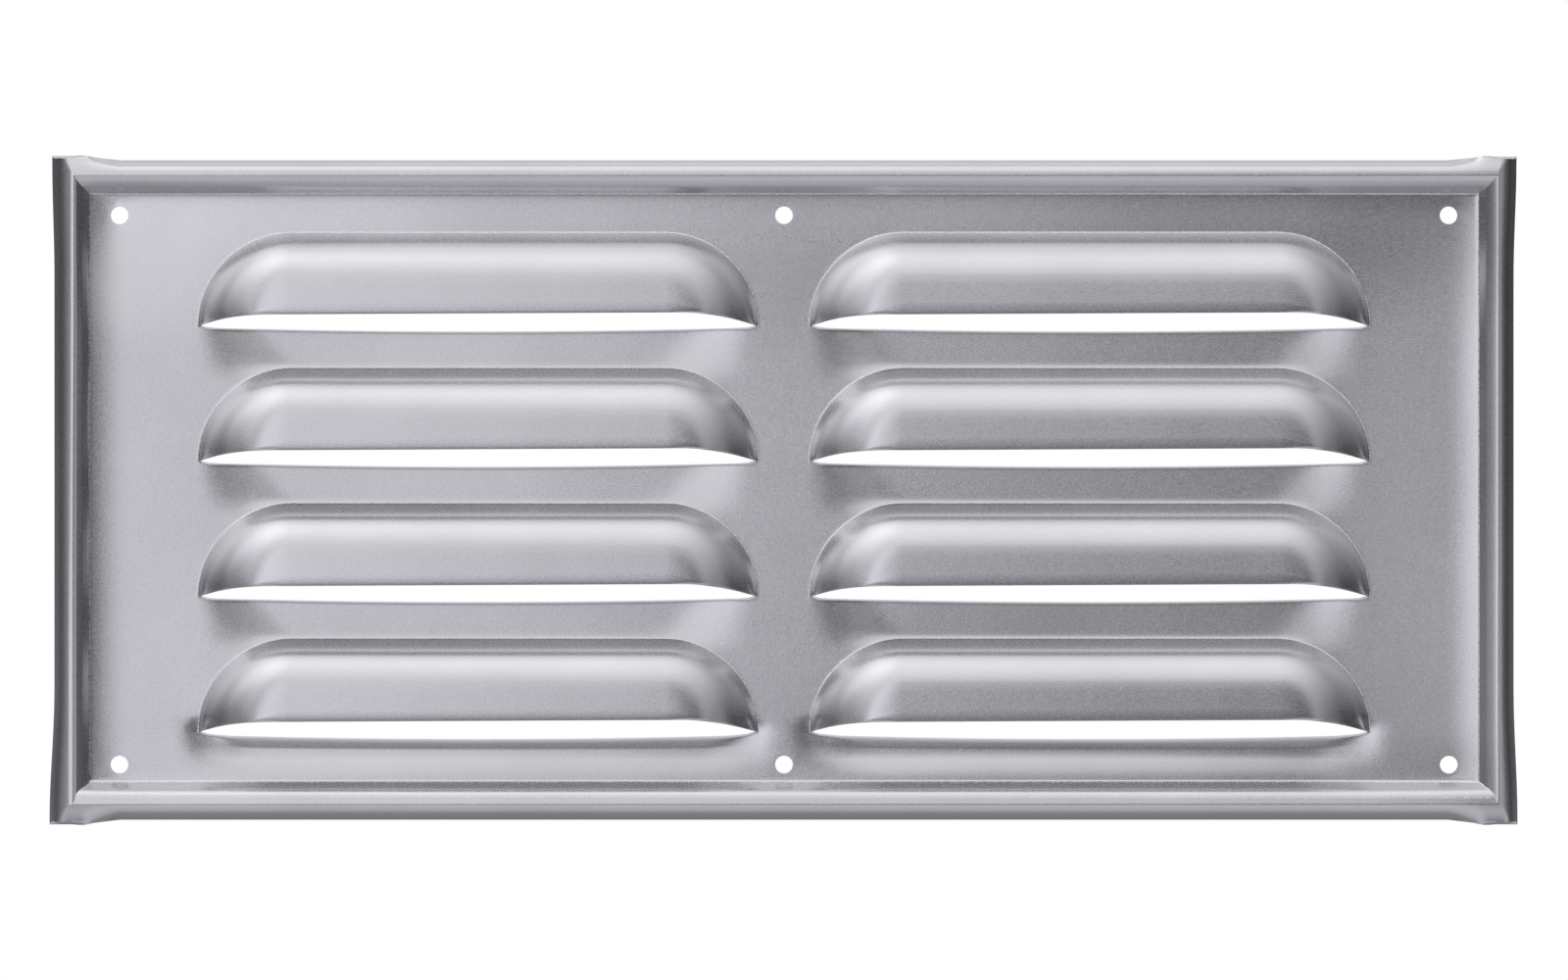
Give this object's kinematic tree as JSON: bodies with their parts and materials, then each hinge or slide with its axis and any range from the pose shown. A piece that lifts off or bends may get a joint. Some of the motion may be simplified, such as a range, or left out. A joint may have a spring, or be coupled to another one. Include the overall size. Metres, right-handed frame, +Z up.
{
  "type": "louvred sheet metal panel",
  "caption": "Rectangular louvred vent panel pressed from one aluminium sheet, with a raised rim, downward-facing hooded louvres and round screw holes.",
  "frame": {"origin": "middle of the panel, on the wall plane that the back of the field and the edge of the rim's skirt both touch", "axes": "as fixed to a wall: +X along the width, +Z up, the louvred front faces -Y and the wall is on the +Y side"},
  "size_m": [0.2998, 0.0087, 0.1366],
  "materials": {
    "aluminium_sheet": "mill finish, fine rolled grain along the width"
  },
  "bodies": {
    "root": {"louvred_panel": "aluminium_sheet"}
  },
  "joints": []
}
